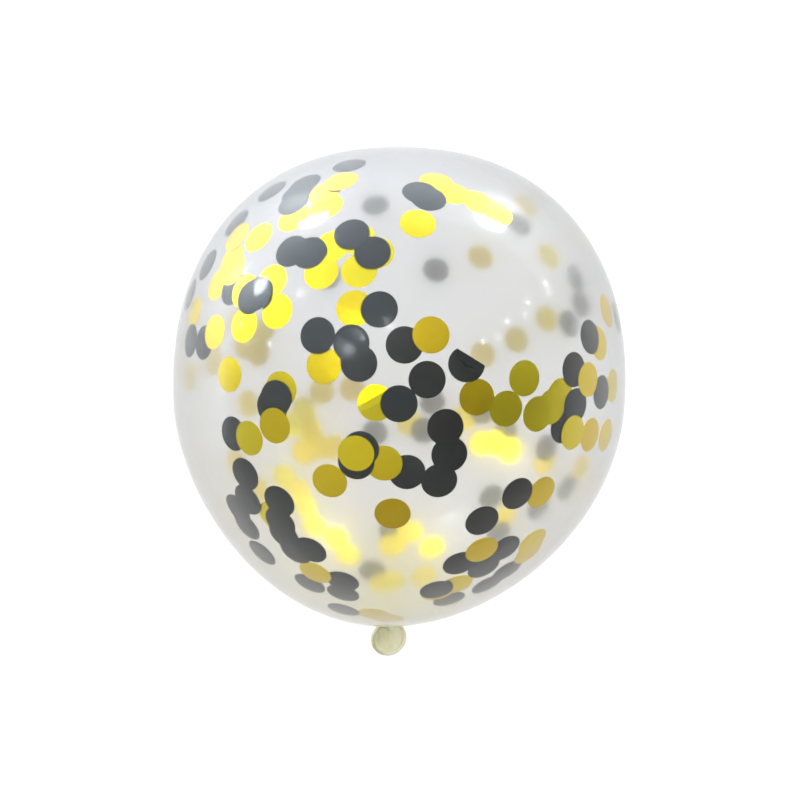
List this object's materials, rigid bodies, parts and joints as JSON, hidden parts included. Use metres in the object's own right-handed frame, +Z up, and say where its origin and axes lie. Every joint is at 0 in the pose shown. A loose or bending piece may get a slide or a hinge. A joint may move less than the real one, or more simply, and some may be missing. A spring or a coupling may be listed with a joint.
{
  "type": "clear latex confetti balloon",
  "caption": "Blown-up clear latex party balloon with a knotted neck and a rolled lip, lying on its side, with loose foil confetti discs sealed inside.",
  "frame": {"origin": "middle of the small flat spot on the underside that the balloon rests on, under its widest circle", "axes": "+Y along the balloon's length from its neck to its crown, +Z up from the surface it lies on, +X across"},
  "size_m": [0.29, 0.3406, 0.288],
  "materials": {
    "clear_latex": "thin stretched clear natural latex film, glossy and slightly milky",
    "neck_latex": "slack natural latex at the neck, knot and rolled lip, yellowish and translucent",
    "gold_foil": "bright gold metallised foil",
    "black_foil": "black satin foil with a faint grain"
  },
  "bodies": {
    "root": {"balloon": "clear_latex"}
  },
  "joints": []
}
